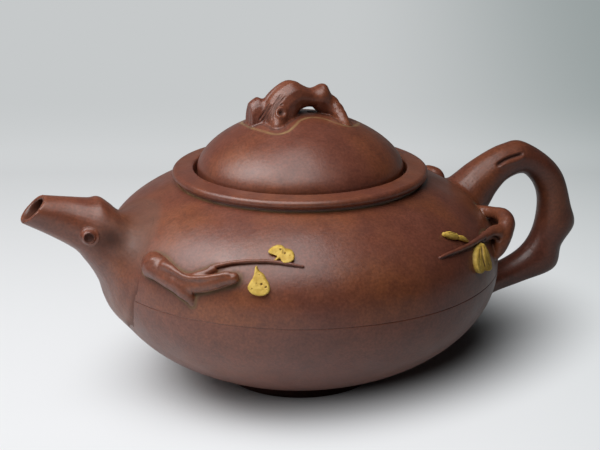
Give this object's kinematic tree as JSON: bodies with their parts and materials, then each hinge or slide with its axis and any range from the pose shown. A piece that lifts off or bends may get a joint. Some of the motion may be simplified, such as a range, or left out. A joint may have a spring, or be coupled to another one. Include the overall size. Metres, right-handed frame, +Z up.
{
  "type": "clay teapot",
  "caption": "Squat unglazed clay teapot with branch-shaped spout, handle and lid knob, an inset domed lid that lifts off, and applied twigs with yellow buds.",
  "frame": {"origin": "middle of the foot's flat underside, on the pot's upright axis", "axes": "+Z up along the pot's axis; the spout points along -X and the handle along +X; the decorated side faces -Y"},
  "size_m": [0.1935, 0.13, 0.0997],
  "materials": {
    "red_clay": "unglazed, burnished",
    "bowl_clay": "unglazed, burnished, slightly greyer",
    "lid_clay": "unglazed, burnished",
    "yellow_clay": "unglazed, matt"
  },
  "bodies": {
    "pot": {"foot_disc": "red_clay", "lower_bowl": "bowl_clay", "upper_shoulder": "red_clay", "mouth_collar": "red_clay", "lid_ledge": "red_clay", "spout": "red_clay", "spout_strainer": "red_clay", "spout_twig_stub": "red_clay", "handle": "red_clay", "handle_far_stub": "red_clay", "front_branch": "red_clay", "front_twig": "red_clay", "front_bud": "yellow_clay", "front_drop": "yellow_clay", "rear_branch": "red_clay", "rear_twig": "red_clay", "rear_bud": "yellow_clay", "rear_blossom": "yellow_clay"},
    "lid": {"lid_dome": "lid_clay", "lid_flange": "lid_clay", "lid_knob": "lid_clay"}
  },
  "joints": [
    {"name": "lid_lift", "type": "slide", "parent": "pot", "child": "lid", "axis": [0, 0, 1], "range_m": [0, 0.06]}
  ]
}
